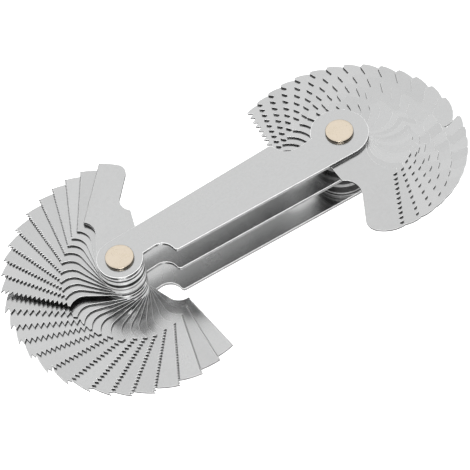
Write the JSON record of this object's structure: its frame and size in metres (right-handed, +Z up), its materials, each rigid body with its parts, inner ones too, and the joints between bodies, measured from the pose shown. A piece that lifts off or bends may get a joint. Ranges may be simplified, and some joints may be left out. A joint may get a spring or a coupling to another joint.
{
  "type": "screw pitch gauge",
  "caption": "Double-ended screw pitch gauge: toothed steel leaves fan out about a rivet at each end of a flat layered plate case and fold back into it.",
  "frame": {"origin": "centre of the lower face of the fine-end rivet, on the surface that the gauge rests on", "axes": "+X from the fine-end rivet to the coarse-end rivet, +Z up through the stack from the inch leaves to the metric leaves, +Y across the case"},
  "size_m": [0.109, 0.055, 0.0174],
  "materials": {
    "leaf_steel": "fine satin ground spring steel",
    "case_steel": "satin sheet steel",
    "rivet_brass": "pale brass, lightly polished"
  },
  "bodies": {
    "case": {"bottom_plate": "case_steel", "middle_plate": "case_steel", "top_plate": "case_steel", "rivet_fine_end": "rivet_brass", "rivet_coarse_end": "rivet_brass"},
    "metric_0_25mm": {"leaf_metric_0_25mm": "leaf_steel"},
    "metric_0_30mm": {"leaf_metric_0_30mm": "leaf_steel"},
    "metric_0_35mm": {"leaf_metric_0_35mm": "leaf_steel"},
    "metric_0_40mm": {"leaf_metric_0_40mm": "leaf_steel"},
    "metric_0_45mm": {"leaf_metric_0_45mm": "leaf_steel"},
    "metric_0_50mm": {"leaf_metric_0_50mm": "leaf_steel"},
    "metric_0_60mm": {"leaf_metric_0_60mm": "leaf_steel"},
    "metric_0_70mm": {"leaf_metric_0_70mm": "leaf_steel"},
    "metric_0_75mm": {"leaf_metric_0_75mm": "leaf_steel"},
    "metric_0_80mm": {"leaf_metric_0_80mm": "leaf_steel"},
    "metric_0_90mm": {"leaf_metric_0_90mm": "leaf_steel"},
    "metric_1_00mm": {"leaf_metric_1_00mm": "leaf_steel"},
    "whitworth_19tpi": {"leaf_whitworth_19tpi": "leaf_steel"},
    "whitworth_20tpi": {"leaf_whitworth_20tpi": "leaf_steel"},
    "whitworth_22tpi": {"leaf_whitworth_22tpi": "leaf_steel"},
    "whitworth_24tpi": {"leaf_whitworth_24tpi": "leaf_steel"},
    "whitworth_25tpi": {"leaf_whitworth_25tpi": "leaf_steel"},
    "whitworth_26tpi": {"leaf_whitworth_26tpi": "leaf_steel"},
    "whitworth_28tpi": {"leaf_whitworth_28tpi": "leaf_steel"},
    "whitworth_30tpi": {"leaf_whitworth_30tpi": "leaf_steel"},
    "whitworth_32tpi": {"leaf_whitworth_32tpi": "leaf_steel"},
    "whitworth_36tpi": {"leaf_whitworth_36tpi": "leaf_steel"},
    "whitworth_40tpi": {"leaf_whitworth_40tpi": "leaf_steel"},
    "whitworth_48tpi": {"leaf_whitworth_48tpi": "leaf_steel"},
    "whitworth_60tpi": {"leaf_whitworth_60tpi": "leaf_steel"},
    "whitworth_62tpi": {"leaf_whitworth_62tpi": "leaf_steel"},
    "metric_1_25mm": {"leaf_metric_1_25mm": "leaf_steel"},
    "metric_1_50mm": {"leaf_metric_1_50mm": "leaf_steel"},
    "metric_1_75mm": {"leaf_metric_1_75mm": "leaf_steel"},
    "metric_2_00mm": {"leaf_metric_2_00mm": "leaf_steel"},
    "metric_2_50mm": {"leaf_metric_2_50mm": "leaf_steel"},
    "metric_3_00mm": {"leaf_metric_3_00mm": "leaf_steel"},
    "metric_3_50mm": {"leaf_metric_3_50mm": "leaf_steel"},
    "metric_4_00mm": {"leaf_metric_4_00mm": "leaf_steel"},
    "metric_4_50mm": {"leaf_metric_4_50mm": "leaf_steel"},
    "metric_5_00mm": {"leaf_metric_5_00mm": "leaf_steel"},
    "metric_5_50mm": {"leaf_metric_5_50mm": "leaf_steel"},
    "metric_6_00mm": {"leaf_metric_6_00mm": "leaf_steel"},
    "whitworth_4tpi": {"leaf_whitworth_4tpi": "leaf_steel"},
    "whitworth_4_5tpi": {"leaf_whitworth_4_5tpi": "leaf_steel"},
    "whitworth_5tpi": {"leaf_whitworth_5tpi": "leaf_steel"},
    "whitworth_6tpi": {"leaf_whitworth_6tpi": "leaf_steel"},
    "whitworth_7tpi": {"leaf_whitworth_7tpi": "leaf_steel"},
    "whitworth_8tpi": {"leaf_whitworth_8tpi": "leaf_steel"},
    "whitworth_9tpi": {"leaf_whitworth_9tpi": "leaf_steel"},
    "whitworth_10tpi": {"leaf_whitworth_10tpi": "leaf_steel"},
    "whitworth_11tpi": {"leaf_whitworth_11tpi": "leaf_steel"},
    "whitworth_12tpi": {"leaf_whitworth_12tpi": "leaf_steel"},
    "whitworth_13tpi": {"leaf_whitworth_13tpi": "leaf_steel"},
    "whitworth_14tpi": {"leaf_whitworth_14tpi": "leaf_steel"},
    "whitworth_16tpi": {"leaf_whitworth_16tpi": "leaf_steel"},
    "whitworth_18tpi": {"leaf_whitworth_18tpi": "leaf_steel"}
  },
  "joints": [
    {"name": "metric_0_25mm_pivot", "type": "hinge", "parent": "case", "child": "metric_0_25mm", "pos_m": [0, 0, 0.01553], "axis": [0, 0, 1], "range_deg": [-69.2, 290.8]},
    {"name": "metric_0_30mm_pivot", "type": "hinge", "parent": "case", "child": "metric_0_30mm", "pos_m": [0, 0, 0.01502], "axis": [0, 0, 1], "range_deg": [-69.4, 290.6]},
    {"name": "metric_0_35mm_pivot", "type": "hinge", "parent": "case", "child": "metric_0_35mm", "pos_m": [0, 0, 0.01451], "axis": [0, 0, 1], "range_deg": [-78.58, 281.42]},
    {"name": "metric_0_40mm_pivot", "type": "hinge", "parent": "case", "child": "metric_0_40mm", "pos_m": [0, 0, 0.014], "axis": [0, 0, 1], "range_deg": [-86.73, 273.27]},
    {"name": "metric_0_45mm_pivot", "type": "hinge", "parent": "case", "child": "metric_0_45mm", "pos_m": [0, 0, 0.01349], "axis": [0, 0, 1], "range_deg": [-94.26, 265.74]},
    {"name": "metric_0_50mm_pivot", "type": "hinge", "parent": "case", "child": "metric_0_50mm", "pos_m": [0, 0, 0.01298], "axis": [0, 0, 1], "range_deg": [-102.3, 257.7]},
    {"name": "metric_0_60mm_pivot", "type": "hinge", "parent": "case", "child": "metric_0_60mm", "pos_m": [0, 0, 0.01247], "axis": [0, 0, 1], "range_deg": [-111.39, 248.61]},
    {"name": "metric_0_70mm_pivot", "type": "hinge", "parent": "case", "child": "metric_0_70mm", "pos_m": [0, 0, 0.01196], "axis": [0, 0, 1], "range_deg": [-120.84, 239.16]},
    {"name": "metric_0_75mm_pivot", "type": "hinge", "parent": "case", "child": "metric_0_75mm", "pos_m": [0, 0, 0.01145], "axis": [0, 0, 1], "range_deg": [-129.54, 230.46]},
    {"name": "metric_0_80mm_pivot", "type": "hinge", "parent": "case", "child": "metric_0_80mm", "pos_m": [0, 0, 0.01094], "axis": [0, 0, 1], "range_deg": [-137.27, 222.73]},
    {"name": "metric_0_90mm_pivot", "type": "hinge", "parent": "case", "child": "metric_0_90mm", "pos_m": [0, 0, 0.01043], "axis": [0, 0, 1], "range_deg": [-144.91, 215.09]},
    {"name": "metric_1_00mm_pivot", "type": "hinge", "parent": "case", "child": "metric_1_00mm", "pos_m": [0, 0, 0.00992], "axis": [0, 0, 1], "range_deg": [-153.47, 206.53]},
    {"name": "whitworth_19tpi_pivot", "type": "hinge", "parent": "case", "child": "whitworth_19tpi", "pos_m": [0, 0, 0.00846], "axis": [0, 0, 1], "range_deg": [-162.9, 197.1]},
    {"name": "whitworth_20tpi_pivot", "type": "hinge", "parent": "case", "child": "whitworth_20tpi", "pos_m": [0, 0, 0.00795], "axis": [0, 0, 1], "range_deg": [-171.89, 188.11]},
    {"name": "whitworth_22tpi_pivot", "type": "hinge", "parent": "case", "child": "whitworth_22tpi", "pos_m": [0, 0, 0.00744], "axis": [0, 0, 1], "range_deg": [-180.45, 179.55]},
    {"name": "whitworth_24tpi_pivot", "type": "hinge", "parent": "case", "child": "whitworth_24tpi", "pos_m": [0, 0, 0.00693], "axis": [0, 0, 1], "range_deg": [-189.84, 170.16]},
    {"name": "whitworth_25tpi_pivot", "type": "hinge", "parent": "case", "child": "whitworth_25tpi", "pos_m": [0, 0, 0.00642], "axis": [0, 0, 1], "range_deg": [-200.56, 159.44]},
    {"name": "whitworth_26tpi_pivot", "type": "hinge", "parent": "case", "child": "whitworth_26tpi", "pos_m": [0, 0, 0.00591], "axis": [0, 0, 1], "range_deg": [-211.82, 148.18]},
    {"name": "whitworth_28tpi_pivot", "type": "hinge", "parent": "case", "child": "whitworth_28tpi", "pos_m": [0, 0, 0.0054], "axis": [0, 0, 1], "range_deg": [-222.37, 137.63]},
    {"name": "whitworth_30tpi_pivot", "type": "hinge", "parent": "case", "child": "whitworth_30tpi", "pos_m": [0, 0, 0.00489], "axis": [0, 0, 1], "range_deg": [-231.92, 128.08]},
    {"name": "whitworth_32tpi_pivot", "type": "hinge", "parent": "case", "child": "whitworth_32tpi", "pos_m": [0, 0, 0.00438], "axis": [0, 0, 1], "range_deg": [-241.4, 118.6]},
    {"name": "whitworth_36tpi_pivot", "type": "hinge", "parent": "case", "child": "whitworth_36tpi", "pos_m": [0, 0, 0.00387], "axis": [0, 0, 1], "range_deg": [-251.98, 108.02]},
    {"name": "whitworth_40tpi_pivot", "type": "hinge", "parent": "case", "child": "whitworth_40tpi", "pos_m": [0, 0, 0.00336], "axis": [0, 0, 1], "range_deg": [-263.79, 96.21]},
    {"name": "whitworth_48tpi_pivot", "type": "hinge", "parent": "case", "child": "whitworth_48tpi", "pos_m": [0, 0, 0.00285], "axis": [0, 0, 1], "range_deg": [-275.74, 84.26]},
    {"name": "whitworth_60tpi_pivot", "type": "hinge", "parent": "case", "child": "whitworth_60tpi", "pos_m": [0, 0, 0.00234], "axis": [0, 0, 1], "range_deg": [-286.78, 73.22]},
    {"name": "whitworth_62tpi_pivot", "type": "hinge", "parent": "case", "child": "whitworth_62tpi", "pos_m": [0, 0, 0.00183], "axis": [0, 0, 1], "range_deg": [-296.97, 63.03]},
    {"name": "metric_1_25mm_pivot", "type": "hinge", "parent": "case", "child": "metric_1_25mm", "pos_m": [0.0554, 0, 0.01553], "axis": [0, 0, 1], "range_deg": [-85.2, 274.8]},
    {"name": "metric_1_50mm_pivot", "type": "hinge", "parent": "case", "child": "metric_1_50mm", "pos_m": [0.0554, 0, 0.01502], "axis": [0, 0, 1], "range_deg": [-93.64, 266.36]},
    {"name": "metric_1_75mm_pivot", "type": "hinge", "parent": "case", "child": "metric_1_75mm", "pos_m": [0.0554, 0, 0.01451], "axis": [0, 0, 1], "range_deg": [-101.87, 258.13]},
    {"name": "metric_2_00mm_pivot", "type": "hinge", "parent": "case", "child": "metric_2_00mm", "pos_m": [0.0554, 0, 0.014], "axis": [0, 0, 1], "range_deg": [-109.72, 250.28]},
    {"name": "metric_2_50mm_pivot", "type": "hinge", "parent": "case", "child": "metric_2_50mm", "pos_m": [0.0554, 0, 0.01349], "axis": [0, 0, 1], "range_deg": [-117.08, 242.92]},
    {"name": "metric_3_00mm_pivot", "type": "hinge", "parent": "case", "child": "metric_3_00mm", "pos_m": [0.0554, 0, 0.01298], "axis": [0, 0, 1], "range_deg": [-123.95, 236.05]},
    {"name": "metric_3_50mm_pivot", "type": "hinge", "parent": "case", "child": "metric_3_50mm", "pos_m": [0.0554, 0, 0.01247], "axis": [0, 0, 1], "range_deg": [-130.44, 229.56]},
    {"name": "metric_4_00mm_pivot", "type": "hinge", "parent": "case", "child": "metric_4_00mm", "pos_m": [0.0554, 0, 0.01196], "axis": [0, 0, 1], "range_deg": [-136.72, 223.28]},
    {"name": "metric_4_50mm_pivot", "type": "hinge", "parent": "case", "child": "metric_4_50mm", "pos_m": [0.0554, 0, 0.01145], "axis": [0, 0, 1], "range_deg": [-143, 217]},
    {"name": "metric_5_00mm_pivot", "type": "hinge", "parent": "case", "child": "metric_5_00mm", "pos_m": [0.0554, 0, 0.01094], "axis": [0, 0, 1], "range_deg": [-149.49, 210.51]},
    {"name": "metric_5_50mm_pivot", "type": "hinge", "parent": "case", "child": "metric_5_50mm", "pos_m": [0.0554, 0, 0.01043], "axis": [0, 0, 1], "range_deg": [-156.36, 203.64]},
    {"name": "metric_6_00mm_pivot", "type": "hinge", "parent": "case", "child": "metric_6_00mm", "pos_m": [0.0554, 0, 0.00992], "axis": [0, 0, 1], "range_deg": [-163.72, 196.28]},
    {"name": "whitworth_4tpi_pivot", "type": "hinge", "parent": "case", "child": "whitworth_4tpi", "pos_m": [0.0554, 0, 0.00846], "axis": [0, 0, 1], "range_deg": [-178.44, 181.56]},
    {"name": "whitworth_4_5tpi_pivot", "type": "hinge", "parent": "case", "child": "whitworth_4_5tpi", "pos_m": [0.0554, 0, 0.00795], "axis": [0, 0, 1], "range_deg": [-188.44, 171.56]},
    {"name": "whitworth_5tpi_pivot", "type": "hinge", "parent": "case", "child": "whitworth_5tpi", "pos_m": [0.0554, 0, 0.00744], "axis": [0, 0, 1], "range_deg": [-198.16, 161.84]},
    {"name": "whitworth_6tpi_pivot", "type": "hinge", "parent": "case", "child": "whitworth_6tpi", "pos_m": [0.0554, 0, 0.00693], "axis": [0, 0, 1], "range_deg": [-207.6, 152.4]},
    {"name": "whitworth_7tpi_pivot", "type": "hinge", "parent": "case", "child": "whitworth_7tpi", "pos_m": [0.0554, 0, 0.00642], "axis": [0, 0, 1], "range_deg": [-216.76, 143.24]},
    {"name": "whitworth_8tpi_pivot", "type": "hinge", "parent": "case", "child": "whitworth_8tpi", "pos_m": [0.0554, 0, 0.00591], "axis": [0, 0, 1], "range_deg": [-225.64, 134.36]},
    {"name": "whitworth_9tpi_pivot", "type": "hinge", "parent": "case", "child": "whitworth_9tpi", "pos_m": [0.0554, 0, 0.0054], "axis": [0, 0, 1], "range_deg": [-234.24, 125.76]},
    {"name": "whitworth_10tpi_pivot", "type": "hinge", "parent": "case", "child": "whitworth_10tpi", "pos_m": [0.0554, 0, 0.00489], "axis": [0, 0, 1], "range_deg": [-242.56, 117.44]},
    {"name": "whitworth_11tpi_pivot", "type": "hinge", "parent": "case", "child": "whitworth_11tpi", "pos_m": [0.0554, 0, 0.00438], "axis": [0, 0, 1], "range_deg": [-250.6, 109.4]},
    {"name": "whitworth_12tpi_pivot", "type": "hinge", "parent": "case", "child": "whitworth_12tpi", "pos_m": [0.0554, 0, 0.00387], "axis": [0, 0, 1], "range_deg": [-258.36, 101.64]},
    {"name": "whitworth_13tpi_pivot", "type": "hinge", "parent": "case", "child": "whitworth_13tpi", "pos_m": [0.0554, 0, 0.00336], "axis": [0, 0, 1], "range_deg": [-265.84, 94.16]},
    {"name": "whitworth_14tpi_pivot", "type": "hinge", "parent": "case", "child": "whitworth_14tpi", "pos_m": [0.0554, 0, 0.00285], "axis": [0, 0, 1], "range_deg": [-273.04, 86.96]},
    {"name": "whitworth_16tpi_pivot", "type": "hinge", "parent": "case", "child": "whitworth_16tpi", "pos_m": [0.0554, 0, 0.00234], "axis": [0, 0, 1], "range_deg": [-279.96, 80.04]},
    {"name": "whitworth_18tpi_pivot", "type": "hinge", "parent": "case", "child": "whitworth_18tpi", "pos_m": [0.0554, 0, 0.00183], "axis": [0, 0, 1], "range_deg": [-286.6, 73.4]}
  ]
}
